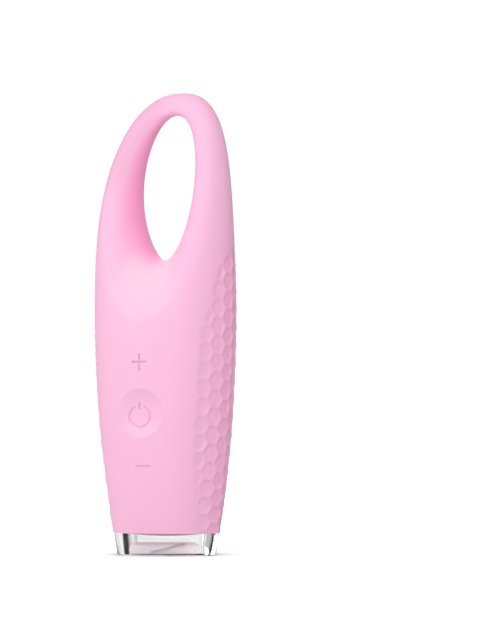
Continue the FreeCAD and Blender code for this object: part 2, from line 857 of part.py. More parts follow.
def build():
    form = outer_form()
    nodes = {
        "silicone_sleeve": silicone_sleeve(form),
        "loop_core": loop_core(),
        "front_shell": front_shell(),
        "rear_shell": rear_shell(),
        "shell_screws": shell_screws(),
        "clear_base": clear_base(),
        "foot_insert": foot_insert(),
        "base_plug": base_plug(),
        "base_seal": base_seal(),
        "main_board": main_board(),
        "board_screws": board_screws(),
        "controller_chip": on_board(chip_x, chip_z, chip_size, chip_size, chip_thick),
        "charger_chip": on_board(-chip_x, chip_z, charger_size, charger_size, chip_thick),
        "inductor": on_board(-chip_x, inductor_z, inductor_size, inductor_size, inductor_thick),
        "capacitors": capacitors(),
        "indicator_lamp": on_board(0.0, board_low_z + lamp_width, lamp_width, lamp_tall, lamp_thick),
        "battery_cell": battery_cell(),
        "battery_tabs": battery_tabs(),
        "battery_foam": battery_foam(),
        "battery_socket": battery_socket(),
        "battery_leads": battery_leads(),
        "charge_jack": charge_jack(),
        "jack_seal": jack_seal(),
        "jack_leads": jack_leads(),
        "motor_tray": motor_tray(),
    }
    for name, z, radius in key_list:
        nodes[name + "_key"] = key_pad(form, name, z, radius)
        nodes[name + "_plunger"] = key_plunger(form, z, radius)
        nodes[name + "_switch_case"] = switch_case(z)
        nodes[name + "_switch_stem"] = switch_stem(z)
    for side, x in (("left", -motor_x), ("right", motor_x)):
        nodes[side + "_motor_can"] = motor_can(x)
        nodes[side + "_motor_cap"] = motor_cap(x)
        nodes[side + "_motor_bush"] = motor_bush(x)
        nodes[side + "_motor_shaft"] = motor_shaft(x)
        nodes[side + "_motor_rotor"] = motor_rotor(x)
        nodes[side + "_weight"] = eccentric_weight(x)
        nodes[side + "_motor_boot"] = motor_boot(x)
        nodes[side + "_motor_socket"] = motor_socket(x)
        nodes[side + "_motor_leads"] = motor_leads(x)
    return nodes


os.makedirs("parts", exist_ok=True)
for node, shape in build().items():
    shape.exportStep("parts/" + node + ".step")
    state = "valid" if shape.isValid() else "not valid"
    print(node, state, len(shape.Solids), round(shape.Volume, 2))
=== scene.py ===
import json
import math

import bpy
import numpy as np
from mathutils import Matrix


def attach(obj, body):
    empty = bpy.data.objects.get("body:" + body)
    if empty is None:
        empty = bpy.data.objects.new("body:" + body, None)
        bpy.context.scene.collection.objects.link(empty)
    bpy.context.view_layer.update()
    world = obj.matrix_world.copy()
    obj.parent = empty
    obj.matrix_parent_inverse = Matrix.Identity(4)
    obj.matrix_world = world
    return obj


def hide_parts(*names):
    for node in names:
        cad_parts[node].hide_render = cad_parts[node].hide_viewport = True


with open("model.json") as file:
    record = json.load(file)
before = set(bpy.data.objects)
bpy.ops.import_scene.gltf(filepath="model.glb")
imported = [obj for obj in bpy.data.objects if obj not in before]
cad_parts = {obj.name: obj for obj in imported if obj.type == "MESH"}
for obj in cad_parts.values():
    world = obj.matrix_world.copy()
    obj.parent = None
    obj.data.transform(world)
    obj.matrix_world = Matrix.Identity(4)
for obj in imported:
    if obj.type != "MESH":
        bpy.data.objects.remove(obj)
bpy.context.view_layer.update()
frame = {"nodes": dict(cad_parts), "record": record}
print("stage: frame loaded")

mm = 0.001
tiny = 1e-6  # keeps divisions and roots away from nothing


# Small tools

def linear(code):
    shades = [int(code[k:k + 2], 16) / 255 for k in (0, 2, 4)]
    return tuple(s / 12.92 if s <= 0.04045 else ((s + 0.055) / 1.055) ** 2.4 for s in shades) + (1.0,)


def addNode(owner, kind, values=None, links=None, feeds=None, into="Principled BSDF", **settings):
    # Settings are the node's own, values fill its sockets, links bring sources in, feeds goes to the shader
    tree = owner.node_tree
    node = tree.nodes.new(kind)
    for name, value in settings.items():
        setattr(node, name, value)
    for name, value in (values or {}).items():
        node.inputs[name].default_value = value
    for name, (source, socket) in (links or {}).items():
        tree.links.new(source.outputs[socket], node.inputs[name])
    if feeds:
        tree.links.new(node.outputs[feeds[0]], tree.nodes[into].inputs[feeds[1]])
    return node


def newMaterial(name, code, **values):
    material = bpy.data.materials.new(name)
    material.use_nodes = True
    shader = material.node_tree.nodes["Principled BSDF"]
    shader.inputs["Base Color"].default_value = linear(code)
    for key, value in values.items():
        shader.inputs[key.replace("_", " ")].default_value = value
    return material


def fresh():
    # Leaves edit mode with nothing selected
    if bpy.context.object and bpy.context.object.mode != "OBJECT":
        bpy.ops.object.mode_set(mode="OBJECT")
    bpy.ops.object.select_all(action="DESELECT")


def keep(name, material):
    # Names the piece that was just added and gives it its finish
    piece = bpy.context.object
    piece.name = name
    piece.data.name = name
    piece.data.materials.clear()
    piece.data.materials.append(material)
    return piece


def points(piece):
    # Corners of a piece in millimetres
    data = np.empty(len(piece.data.vertices) * 3)
    piece.data.vertices.foreach_get("co", data)
    return data.reshape(-1, 3) / mm


def setPoints(piece, data):
    piece.data.vertices.foreach_set("co", (data * mm).ravel())
    piece.data.update()


def normals(piece):
    data = np.empty(len(piece.data.vertices) * 3, dtype=np.float32)
    piece.data.vertex_normals.foreach_get("vector", data)
    return data.reshape(-1, 3).astype(float)


def choose(piece):
    fresh()
    piece.select_set(True)
    bpy.context.view_layer.objects.active = piece


def applyModifier(piece, kind, **values):
    choose(piece)
    modifier = piece.modifiers.new(kind.lower(), kind)
    for name, value in values.items():
        setattr(modifier, name, value)
    bpy.ops.object.modifier_apply(modifier=modifier.name)


def cutAway(piece, cutter):
    applyModifier(piece, "BOOLEAN", operation="DIFFERENCE", solver="EXACT", object=cutter)
    bpy.data.objects.remove(cutter, do_unlink=True)


def smooth(piece, degrees):
    choose(piece)
    bpy.ops.object.shade_smooth_by_angle(angle=math.radians(degrees))


def faceOutwards(piece):
    choose(piece)
    bpy.ops.object.mode_set(mode="EDIT")
    bpy.ops.mesh.select_all(action="SELECT")
    bpy.ops.mesh.normals_make_consistent(inside=False)
    bpy.ops.object.mode_set(mode="OBJECT")


def ramp(low, high, value):
    # Soft step from 0 at low to 1 at high, either way round
    t = np.clip((value - low) / (high - low), 0, 1)
    return t * t * (3 - 2 * t)


# Form of the body in millimetres, as the CAD part has it, with a soft crease added on the front

form = {
    "height": 130.7, "baseHeight": 6.2, "widestZ": 71.1, "halfWidth": 21.2, "footHalfWidth": 16.4,
    "halfDepth": 15.2, "footHalfDepth": 9.3, "loopHalfDepth": 12.2, "holeZ": 103.4, "holeHalfWidth": 9.8,
    "holeHalfHeight": 20.7, "frontScoop": 1.9, "backScoop": 3.5, "leanBack": 9.1, "leanStartZ": 84.4,
    "widthPower": 1.9, "depthPower": 2.9, "outlinePower": 2.42, "crownPower": 2.77, "slimBelow": 9.8,
    "slimAbove": 4.4, "ringLeast": 0.3,
    "creaseRing": 1.86, "creaseHeight": 0.35, "creaseReach": 0.25, "creaseRound": 0.06, "creaseTop": (80, 92),
}


def widthAt(z):
    drop = np.maximum(0, (form["widestZ"] - z) / (form["widestZ"] - form["baseHeight"]))
    return form["halfWidth"] - (form["halfWidth"] - form["footHalfWidth"]) * drop ** form["widthPower"]


def depthAt(z):
    drop = np.maximum(0, (form["widestZ"] - z) / (form["widestZ"] - form["baseHeight"]))
    low = form["halfDepth"] - (form["halfDepth"] - form["footHalfDepth"]) * drop ** form["depthPower"]
    start, end = form["widestZ"] - form["slimBelow"], form["holeZ"] + form["slimAbove"]
    return low - (form["halfDepth"] - form["loopHalfDepth"]) * ramp(start, end, z)


def leanAt(z):
    share = np.maximum(0, z - form["leanStartZ"]) / (form["height"] - form["leanStartZ"])
    return form["leanBack"] * share ** 2


def crownAt(z):
    return np.maximum(0, (z - form["widestZ"]) / (form["height"] - form["widestZ"])) ** form["crownPower"]


def outlineField(x, z):
    # 0 on the outline seen from the front, above it inside
    below = np.maximum(0, (form["baseHeight"] - z) / (2 * form["baseHeight"])) ** 2
    return 1 - (np.abs(x) / widthAt(z)) ** form["outlinePower"] - crownAt(z) - below


def ringAt(x, z):
    # Place between the middle of the loop's opening, its edge at 1, and the body beyond
    ring = np.hypot(x / form["holeHalfWidth"], (z - form["holeZ"]) / form["holeHalfHeight"])
    return np.maximum(form["ringLeast"], ring)


def holeField(x, z, front):
    # 0 on the edge of the opening, rising to 1 away from it, more slowly on the front
    ring = ringAt(x, z)
    slow = form["frontScoop"] + (form["backScoop"] - form["frontScoop"]) * ramp(0, 1, ring - 1)
    return 1 - ring ** -np.where(front, slow, form["backScoop"])


def creaseAt(x, z):
    # Soft edge where the scoop below the loop meets the bulge of the body
    away = np.hypot(ringAt(x, z) - form["creaseRing"], form["creaseRound"])
    low, high = form["creaseTop"]
    return form["creaseHeight"] * np.exp(-away / form["creaseReach"]) * ramp(high, low, z)


def halfThickness(x, z, front):
    share = np.maximum(0, outlineField(x, z) * holeField(x, z, front))
    return (depthAt(z) + np.where(front, creaseAt(x, z), 0)) * np.sqrt(share)


def bodyField(p):
    # Below zero inside the form, zero on its skin
    x, y, z = p[:, 0], p[:, 1], p[:, 2]
    off = y - leanAt(z)
    deep = depthAt(z) + np.where(off < 0, creaseAt(x, z), 0)
    return (off / deep) ** 2 - outlineField(x, z) * holeField(x, z, off < 0)


def bodySlope(p, reach=0.01):
    slope = np.empty_like(p)
    for axis in range(3):
        nudge = np.zeros(3)
        nudge[axis] = reach
        slope[:, axis] = (bodyField(p + nudge) - bodyField(p - nudge)) / (2 * reach)
    return slope


def settle(p, rounds=4, stride=0.3):
    # Walks points along the slope until they lie on the form
    for step in range(rounds):
        slope = bodySlope(p)
        move = (bodyField(p) / np.maximum(tiny, (slope ** 2).sum(1)))[:, None] * slope
        p = p - np.clip(move, -stride, stride)
    return p


def polish(piece, reach=0.004, agree=0.8):
    # Shades what lies on the form, and faces nearly its way, by the form itself, so cuts leave no dents in
    # the light
    mesh = piece.data
    p = points(piece)
    slope = bodySlope(p)
    steep = np.maximum(tiny, np.sqrt((slope ** 2).sum(1)))
    onSkin = np.abs(bodyField(p)) / steep < reach
    facing = slope / steep[:, None]
    corner = np.empty(len(mesh.loops), dtype=np.int32)
    mesh.loops.foreach_get("vertex_index", corner)
    shown = np.empty(len(mesh.loops) * 3, dtype=np.float32)
    mesh.corner_normals.foreach_get("vector", shown)
    near = (shown.reshape(-1, 3) * facing[corner]).sum(1) > agree
    mesh.normals_split_custom_set(np.where((near & onSkin[corner])[:, None], facing[corner], 0.0).tolist())


def ringReach(c, s, limit=9.0, halvings=40):
    # How far out the outline lies in a direction from the opening, counted in rings
    near = np.ones_like(c)
    far = np.full_like(c, limit)
    for step in range(halvings):
        mid = (near + far) / 2
        x, z = form["holeHalfWidth"] * mid * c, form["holeZ"] + form["holeHalfHeight"] * mid * s
        inside = outlineField(x, z) > 0
        near = np.where(inside, mid, near)
        far = np.where(inside, far, mid)
    return near


# Materials, each pattern sized in millimetres

cloudSize = 14


def perMetre(size):
    return 1 / (size * mm)


def toneRange(material, factor, codes):
    # Colour of the finish, from the first code to the last as the factor runs from 0 to 1
    tone = addNode(material, "ShaderNodeValToRGB", links={"Fac": factor}, feeds=("Color", "Base Color"))
    for stop, code in zip(tone.color_ramp.elements, codes):
        stop.color = linear(code)


def grained(name, codes, roughness, grain, depth, layer=None, **values):
    # A finish with an uneven sheen and a fine grain, as moulding leaves them
    # Its tone varies in clouds, or as the piece's own layer says
    material = newMaterial(name, codes[0], **values)
    place = addNode(material, "ShaderNodeTexCoord")
    clouds = addNode(material, "ShaderNodeTexNoise", {"Scale": perMetre(cloudSize), "Detail": 2.0},
                     {"Vector": (place, "Object")})
    addNode(material, "ShaderNodeMapRange", {"To Min": roughness[0], "To Max": roughness[1]},
            {"Value": (clouds, "Fac")}, ("Result", "Roughness"))
    tone = addNode(material, "ShaderNodeAttribute", attribute_name=layer) if layer else clouds
    toneRange(material, (tone, "Fac"), codes)
    skin = addNode(material, "ShaderNodeTexNoise", {"Scale": perMetre(grain), "Detail": 3.0},
                   {"Vector": (place, "Object")})
    addNode(material, "ShaderNodeBump", {"Strength": 0.3, "Distance": depth * mm}, {"Height": (skin, "Fac")},
            ("Normal", "Normal"))
    return material


def tint(material, layer, code):
    # Draws the colour so far towards the code, as much as the piece's own layer says
    colour = material.node_tree.nodes["Principled BSDF"].inputs["Base Color"].links[0].from_node
    outlet = 2 if colour.bl_idname == "ShaderNodeMix" else "Color"
    mask = addNode(material, "ShaderNodeAttribute", attribute_name=layer)
    # Sockets of a colour mix: 0 is its share, 6 and 7 are its colours, 2 is its result
    addNode(material, "ShaderNodeMix", {7: linear(code)}, {0: (mask, "Fac"), 6: (colour, outlet)},
            (2, "Base Color"), data_type="RGBA")


# Moulded silicone: soft satin skin, with light passing a little way under it, and a painted deeper pink for
# bounced light in the loop and shade along the sides
silicone = grained("moulded pink silicone", ("eeb6d3", "fcabd4"), (0.55, 0.65), 0.5, 0.02, layer="paintedBounceShade",
                   Subsurface_Weight=0.2, Subsurface_Scale=0.001, Subsurface_Radius=(1.0, 0.5, 0.7),
                   Specular_IOR_Level=0.15)
tint(silicone, "darkMarksAndShade", "d39ab8")  # darker in the marks, with painted shade on the upper power dish and the left leg of the loop
tint(silicone, "paintedLight", "eec4d7")  # and painted light in the scoop below the loop and the lower power dish

# Polished cast acrylic: water clear, with the faintest haze from the buffing wheel
acrylic = newMaterial("polished clear acrylic", "ffffff", IOR=1.49, Transmission_Weight=1.0)
acrylicPlace = addNode(acrylic, "ShaderNodeTexCoord")
haze = addNode(acrylic, "ShaderNodeTexNoise", {"Scale": perMetre(3), "Detail": 2.0},
               {"Vector": (acrylicPlace, "Object")})
addNode(acrylic, "ShaderNodeMapRange", {"From Min": 0.4, "To Min": 0.0, "To Max": 0.03},
        {"Value": (haze, "Fac")}, ("Result", "Roughness"))

# Moulded ABS: dull, with the spark texture of its tool
shellPlastic = grained("moulded abs", ("ece2e7", "f3ecef"), (0.4, 0.55), 0.3, 0.02)
pinkPlastic = grained("moulded pink abs", ("b06c90", "bb7b9d"), (0.4, 0.5), 0.3, 0.01)
# The same, paler, with a painted glow for the light the clear foot gathers onto it, and painted shade along a
# streak
glowingPalePlastic = grained("moulded pale abs with painted glow", ("ead9df", "f0e2e7"), (0.4, 0.5), 0.3, 0.01,
                       Emission_Color=linear("ffffff"), Emission_Strength=0.18)
tint(glowingPalePlastic, "paintedStreak", "5e4450")
# Natural nylon: slightly waxy and warm
nylon = grained("natural nylon", ("e6e1d4", "efebe1"), (0.42, 0.55), 0.4, 0.015)
# Black moulding resin of switches, chips and jack: dark, dull, lightly pitted
resin = grained("black moulding resin", ("19191b", "242427"), (0.45, 0.6), 0.2, 0.02)
# Rubber of boots and seals: nearly black and dusty
rubber = grained("moulded black rubber", ("29292b", "343436"), (0.65, 0.8), 0.4, 0.03)
# Fired ceramic: sandy, with a dry surface
ceramic = grained("fired ceramic", ("a07a52", "b38d66"), (0.5, 0.65), 0.15, 0.015)
# Milky lens of the lamp: pale and glossy
lens = grained("milky lamp lens", ("f2ece2", "faf7f0"), (0.12, 0.2), 0.6, 0.004)
# Shrink wrap of the cell: glossy blue film with shallow wrinkles
wrap = grained("blue shrink wrap", ("305a97", "3a68a8"), (0.22, 0.35), 1.6, 0.04)
# Vinyl sheath of the leads: glossy red, drawn smooth
vinyl = grained("red vinyl sheath", ("a81c21", "b9262a"), (0.3, 0.42), 0.8, 0.01)
# Sintered bronze: warm metal with open pores
bronze = grained("sintered bronze", ("ad7a44", "c39059"), (0.35, 0.5), 0.2, 0.03, Metallic=1.0)

# Zinc plated steel: pale metal with fine turning lines round its length
steel = newMaterial("zinc plated steel", "b9bcc0", Metallic=1.0)
steelPlace = addNode(steel, "ShaderNodeTexCoord")
turning = addNode(steel, "ShaderNodeTexWave", {"Scale": perMetre(4), "Distortion": 3.0, "Detail": 2.0},
                  {"Vector": (steelPlace, "Object")}, bands_direction="Z")
addNode(steel, "ShaderNodeMapRange", {"To Min": 0.24, "To Max": 0.38}, {"Value": (turning, "Fac")},
        ("Result", "Roughness"))
toneRange(steel, (turning, "Fac"), ("b3b6bb", "c0c3c6"))
addNode(steel, "ShaderNodeBump", {"Strength": 0.2, "Distance": 0.01 * mm}, {"Height": (turning, "Fac")},
        ("Normal", "Normal"))

# Enamelled copper wire: bright turns laid side by side
copper = newMaterial("enamelled copper wire", "b46a3c", Roughness=0.32, Metallic=1.0)
copperPlace = addNode(copper, "ShaderNodeTexCoord")
turns = addNode(copper, "ShaderNodeTexWave", {"Scale": perMetre(4), "Distortion": 0.4},
                {"Vector": (copperPlace, "Object")}, bands_direction="Z")
toneRange(copper, (turns, "Fac"), ("93502b", "c17a48"))
addNode(copper, "ShaderNodeBump", {"Strength": 0.8, "Distance": 0.1 * mm}, {"Height": (turns, "Fac")},
        ("Normal", "Normal"))

# Board laminate: green solder mask over a woven cloth that shows through as a fine check
laminate = newMaterial("board laminate", "1f6b3f", Roughness=0.38)
laminatePlace = addNode(laminate, "ShaderNodeTexCoord")
weave = addNode(laminate, "ShaderNodeTexChecker", {"Scale": perMetre(0.5)},
                {"Vector": (laminatePlace, "Object")})
toneRange(laminate, (weave, "Fac"), ("1c653b", "227144"))
addNode(laminate, "ShaderNodeBump", {"Strength": 0.2, "Distance": 0.02 * mm}, {"Height": (weave, "Fac")},
        ("Normal", "Normal"))

finishes = {
    "silicone": silicone, "clear_acrylic": acrylic, "shell_abs": shellPlastic, "pink_abs": pinkPlastic,
    "nylon": nylon, "zinc_steel": steel, "bearing_bronze": bronze, "copper_winding": copper,
    "seal_rubber": rubber, "board_laminate": laminate, "black_resin": resin, "capacitor_ceramic": ceramic,
    "lamp_lens": lens, "cell_can": wrap, "lead_sheath": vinyl,
}
for part in frame["record"]["subparts"]:
    node = frame["nodes"][part["node"]]
    node.data.materials.clear()
    node.data.materials.append(finishes[part["material_slot"]])
print("stage: materials made")


# Sleeve: a torus drawn out into the body with its loop, remeshed evenly, settled on the form and dimpled

sleeveSpec = {
    "voxel": 0.42, "wall": 2.0, "endGap": 0.02, "cavityZ": (3, 10, 18, 28, 38, 48, 58, 66, 75),
    "endCutAcross": 80, "endCutTall": 40, "portZ": 17.0, "portRadius": 1.8, "portY": (5, 20),
    # grip: columns of dimples counted round the skin from the side, each with its rows
    "columnPitch": 4.1, "rowPitch": 5.05, "columnStart": -1.85, "columnLean": 0.0142, "leanZ": 12,
    "rowStart": 10.7, "rowLift": 0.76, "liftZ": (31, 12.5), "frontLift": 0.6, "frontLiftS": (-3, -9),
    "dimpleDepth": 0.54, "cellEdge": (1.0, 0.55), "cellRound": 0.65, "gripTopZ": 92, "backStrip": 4.5,
    "frontFade": (-0.6, 1.8), "topFade": (-0.6, 2.5), "backFade": (0, 2.5),
    "frontEdge": [(6, -6.4), (9.6, -7.4), (16.3, -9.1), (21.9, -10.0), (25.9, -10.9), (36, -11.4),
                  (47, -11.5), (57, -11.1), (62.5, -10.6), (66.7, -9.2), (70, -8.0), (75, -7.0),
                  (79.4, -5.2), (82.2, -3.2), (85.5, 0.0), (88, 4.0)],
    "topEdge": [(0, 90), (6, 88), (12, 84), (18, 77), (24, 70)],
    # painted shade and light on the skin: how strong, and where each starts and is full by ring, height,
    # place across or facing
    "innerFacing": (0.65, 1.05), "innerRing": (1.7, 1.1),
    "side": 0.3, "sideFacing": (0.75, 1.0), "sideZ": (95, 80),
    "paintedLight": 0.45, "paintedLightRing": (1.7, 1.2),
    "scoopRing": (1.9, 1.75), "scoopBelow": (0.7, 0.9), "scoopFacing": (0, -0.3),
    "leg": 0.35, "legZ": (98, 108), "legX": (0, -8), "legFacing": (0.75, 0.4),
}


def sleeveBlank(major=2):
    fresh()
    bpy.ops.mesh.primitive_torus_add(major_segments=128, minor_segments=96, major_radius=major,
                                     minor_radius=1)
    blank = keep("sleeve", silicone)
    p = points(blank) * mm  # in the torus's own units
    around = np.arctan2(p[:, 1], p[:, 0])
    turn = np.arctan2(p[:, 2], np.hypot(p[:, 0], p[:, 1]) - major)
    c, s = np.cos(around), np.sin(around)
    ring = 1 + (ringReach(c, s) - 1) * (1 + np.cos(turn)) / 2
    x = form["holeHalfWidth"] * ring * c
    z = form["holeZ"] + form["holeHalfHeight"] * ring * s
    front = turn < 0
    y = leanAt(z) + np.where(front, -1, 1) * halfThickness(x, z, front)
    setPoints(blank, np.stack([x, y, z], 1))
    faceOutwards(blank)
    return blank


def sideDistance(p, top=95, half=90):
    # Distance round the skin from the widest line of the side, minus towards the front
    # It is read off a grid with a row for each millimetre of height and a column for each degree of turn
    x, y, z = np.abs(p[:, 0]), p[:, 1], p[:, 2]
    levels = np.arange(top + 1.0)
    turns = np.radians(np.arange(-half, half + 1.0))
    power = form["outlinePower"]
    crop = np.maximum(tiny, 1 - crownAt(levels))[:, None]
    gridX = widthAt(levels)[:, None] * crop ** (1 / power) * np.cos(turns)[None] ** (2 / power)
    gridY = depthAt(levels)[:, None] * np.sqrt(crop) * np.sin(turns)[None]
    gridY = gridY * np.sqrt(np.maximum(0, holeField(gridX, levels[:, None], turns[None] < 0)))
    arc = np.cumsum(np.hypot(np.diff(gridX, axis=1, prepend=gridX[:, :1]),
                             np.diff(gridY, axis=1, prepend=gridY[:, :1])), axis=1)
    arc = arc - arc[:, half:half + 1]
    crop = np.maximum(tiny, 1 - crownAt(z))
    share = np.clip(x / (widthAt(z) * crop ** (1 / power)), 0, 1) ** (power / 2)
    turn = np.copysign(np.arccos(share), y - leanAt(z))
    row = np.clip(z, 0, top - 0.01)
    low = row.astype(int)
    column = np.degrees(turn) + half
    left = np.clip(column.astype(int), 0, 2 * half - 1)
    u, v = row - low, column - left
    near = arc[low, left] * (1 - v) + arc[low, left + 1] * v
    far = arc[low + 1, left] * (1 - v) + arc[low + 1, left + 1] * v
    reach = arc[low, 2 * half] * (1 - u) + arc[low + 1, 2 * half] * u
    return near * (1 - u) + far * u, reach


def gripDepth(p):
    # Depth of the hexagonal dimples, each a soft scoop between a hexagon and a round
    spec = sleeveSpec
    s, reach = sideDistance(p)
    z = p[:, 2]
    column = (s - spec["columnStart"] - spec["columnLean"] * (z - spec["leanZ"])) / spec["columnPitch"]
    liftFrom, liftTo = spec["liftZ"]
    drop = np.maximum(0, (liftFrom - z) / (liftFrom - liftTo))
    row = z - spec["rowLift"] * drop ** 2  # rows close up lower down
    row = row - spec["frontLift"] * ramp(*spec["frontLiftS"], s)
    root3 = math.sqrt(3)
    best = np.full(len(p), np.inf)
    for step in (0, 1):
        k = np.floor(column) + step
        shift = spec["rowStart"] + np.where(k % 2 == 0, 0, spec["rowPitch"] / 2)
        dz = (row - shift) / spec["rowPitch"]
        dz = (dz - np.round(dz)) * root3
        ds = (column - k) * 1.5  # centres of columns stand one and a half cell radii apart
        flat = np.maximum(np.abs(dz), np.abs(ds) * root3 / 2 + np.abs(dz) / 2) / (root3 / 2)
        best = np.minimum(best, (1 - spec["cellRound"]) * flat + spec["cellRound"] * np.hypot(ds, dz))
    cell = ramp(*spec["cellEdge"], best)
    frontZ, frontS = zip(*spec["frontEdge"])
    topS, topZ = zip(*spec["topEdge"])
    edge = ramp(*spec["frontFade"], s - np.interp(z, frontZ, frontS))
    edge = edge * ramp(*spec["topFade"], np.interp(s, topS, topZ) - z)
    edge = edge * ramp(*spec["backFade"], reach - s - spec["backStrip"])
    return spec["dimpleDepth"] * cell * np.where(z < spec["gripTopZ"], edge, 0)


def ovalStack(name, levels, material):
    # A closed stack of ovals, each level given as height, half width and half depth
    fresh()
    bpy.ops.mesh.primitive_circle_add(vertices=128, radius=1, fill_type="NGON")
    stack = keep(name, material)
    p = points(stack) * mm  # in the circle's own units
    z, wide, deep = levels[0]
    turn = np.arctan2(p[:, 1], p[:, 0])
    x = wide * np.sign(np.cos(turn)) * np.abs(np.cos(turn)) ** (2 / form["outlinePower"])
    setPoints(stack, np.stack([x, deep * np.sin(turn), np.full(len(p), z)], 1))
    bpy.ops.object.mode_set(mode="EDIT")
    bpy.ops.mesh.select_all(action="SELECT")
    for (lowZ, lowWide, lowDeep), (highZ, highWide, highDeep) in zip(levels, levels[1:]):
        bpy.ops.mesh.extrude_region_move(TRANSFORM_OT_translate={"value": (0, 0, (highZ - lowZ) * mm)})
        bpy.ops.transform.resize(value=(highWide / lowWide, highDeep / lowDeep, 1),
                                 center_override=(0, 0, highZ * mm))
    faceOutwards(stack)
    return stack


def spanAt(z, inset):
    # Half width and half depth of the body at a height, less the inset
    crop = 1 - crownAt(z)
    pinch = math.sqrt(holeField(np.array([0.0]), np.array([z]), np.array([True]))[0])
    wide = widthAt(z) * crop ** (1 / form["outlinePower"])
    return wide - inset, depthAt(z) * math.sqrt(crop) * pinch - inset


def roundCutter(name, z, radius, yStart, yEnd):
    fresh()
    bpy.ops.mesh.primitive_cylinder_add(vertices=160, radius=radius * mm, depth=(yEnd - yStart) * mm,
                                        location=(0, (yStart + yEnd) / 2 * mm, z * mm),
                                        rotation=(math.pi / 2, 0, 0))
    bpy.ops.object.transform_apply(location=True, rotation=True, scale=True)
    return keep(name, silicone)


keySpec = {
    "power": {"z": 39.7, "radius": 7.0, "cells": 120, "dish": 1.15, "tint": 0.3},
    "plus": {"z": 54.0, "radius": 4.5, "cells": 110, "dish": 0.0, "tint": 0.75},
    "minus": {"z": 25.0, "radius": 4.5, "cells": 110, "dish": 0.0, "tint": 0.4},
    "gap": 0.006, "cutReach": 5, "thick": 1.5, "dishPower": 2.2, "dishRim": (1.0, 0.85),
    # painted shade on the upper half of the power dish and painted light on its lower half
    "dishShade": 0.1, "shadeRise": (0.1, 0.9), "dishPaintedLight": 0.35, "paintedLightRise": (-0.1, -0.7),
    # marks: stroke, bars of plus and minus, then the broken ring and its tick
    "markWidth": 0.62, "markDepth": 0.25, "markEdge": (0.08, -0.14), "barHalf": 2.15, "ringX": -0.65,
    "ringZ": -0.87, "ringStretch": 1.1, "ringRadius": 2.95, "ringGap": 0.52, "tick": (2.25, 3.45),
}


def addLayer(piece, name, values):
    # A value at each corner of a piece, for its finish to read
    piece.data.attributes.new(name, "FLOAT", "POINT").data.foreach_set("value", values.astype(np.float32))


def paintLightAndShade(piece):
    # Painted deeper pink where the wall of the loop faces its opening, for bounced light, and along the sides
    # for shade; painted light in the scoop below and painted shade on the left leg
    spec = sleeveSpec
    p, facing = points(piece), normals(piece)
    x, z = p[:, 0], p[:, 2]
    ring = ringAt(x, z)
    toHole = np.stack([-x / form["holeHalfWidth"], (form["holeZ"] - z) / form["holeHalfHeight"]], 1)
    toHole = toHole / np.maximum(tiny, np.hypot(toHole[:, 0], toHole[:, 1]))[:, None]
    inward = facing[:, 0] * toHole[:, 0] + facing[:, 2] * toHole[:, 1]
    inner = ramp(*spec["innerFacing"], inward) * ramp(*spec["innerRing"], ring)
    side = spec["side"] * ramp(*spec["sideFacing"], np.abs(facing[:, 0])) * ramp(*spec["sideZ"], z)
    addLayer(piece, "paintedBounceShade", np.maximum(inner, side))
    below = (form["holeZ"] - z) / form["holeHalfHeight"] / ring
    scoop = ramp(*spec["scoopRing"], ring) * ramp(*spec["scoopBelow"], below)
    scoop = scoop * ramp(*spec["scoopFacing"], facing[:, 1])
    addLayer(piece, "paintedLight", spec["paintedLight"] * scoop * (1 + ramp(*spec["paintedLightRing"], ring)) * (1 - inner))
    leg = ramp(*spec["legZ"], z) * ramp(*spec["legX"], x) * ramp(*spec["legFacing"], facing[:, 0])
    addLayer(piece, "darkMarksAndShade", spec["leg"] * leg)


def frontAt(x, z):
    # Place of the front skin, below where the body leans back
    return -halfThickness(x, z, np.full(np.shape(z), True))


sleeve = sleeveBlank()
applyModifier(sleeve, "REMESH", mode="VOXEL", voxel_size=sleeveSpec["voxel"] * mm)
setPoints(sleeve, settle(points(sleeve)))
skin = points(sleeve)
paintLightAndShade(sleeve)
setPoints(sleeve, skin - normals(sleeve) * gripDepth(skin)[:, None])
cavityLevels = [(z, *spanAt(z, sleeveSpec["wall"])) for z in sleeveSpec["cavityZ"]]
cutAway(sleeve, ovalStack("cavity", cavityLevels, silicone))
across, tall = sleeveSpec["endCutAcross"] * mm, sleeveSpec["endCutTall"] * mm
endZ = (form["baseHeight"] + sleeveSpec["endGap"]) * mm
fresh()
bpy.ops.mesh.primitive_cube_add(size=1, location=(0, 0, endZ - tall / 2), scale=(across, across, tall))
bpy.ops.object.transform_apply(location=True, rotation=True, scale=True)
cutAway(sleeve, keep("endCutter", silicone))
for keyName in ("power", "plus", "minus"):
    key = keySpec[keyName]
    frontY = float(frontAt(0.0, key["z"]))
    cutAway(sleeve, roundCutter("keyCutter", key["z"], key["radius"] + keySpec["gap"],
                                frontY - keySpec["cutReach"], frontY + keySpec["cutReach"]))
cutAway(sleeve, roundCutter("portCutter", sleeveSpec["portZ"], sleeveSpec["portRadius"],
                            *sleeveSpec["portY"]))
smooth(sleeve, 40)
polish(sleeve)
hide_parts("silicone_sleeve")
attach(sleeve, "casing")
print("stage: sleeve made", len(sleeve.data.polygons))


# Keys: fine discs laid on the form, with the dish and the marks pressed in

def barDistance(x, z, x0, z0, x1, z1):
    dx, dz = x1 - x0, z1 - z0
    t = np.clip(((x - x0) * dx + (z - z0) * dz) / (dx * dx + dz * dz), 0, 1)
    return np.hypot(x - x0 - t * dx, z - z0 - t * dz)


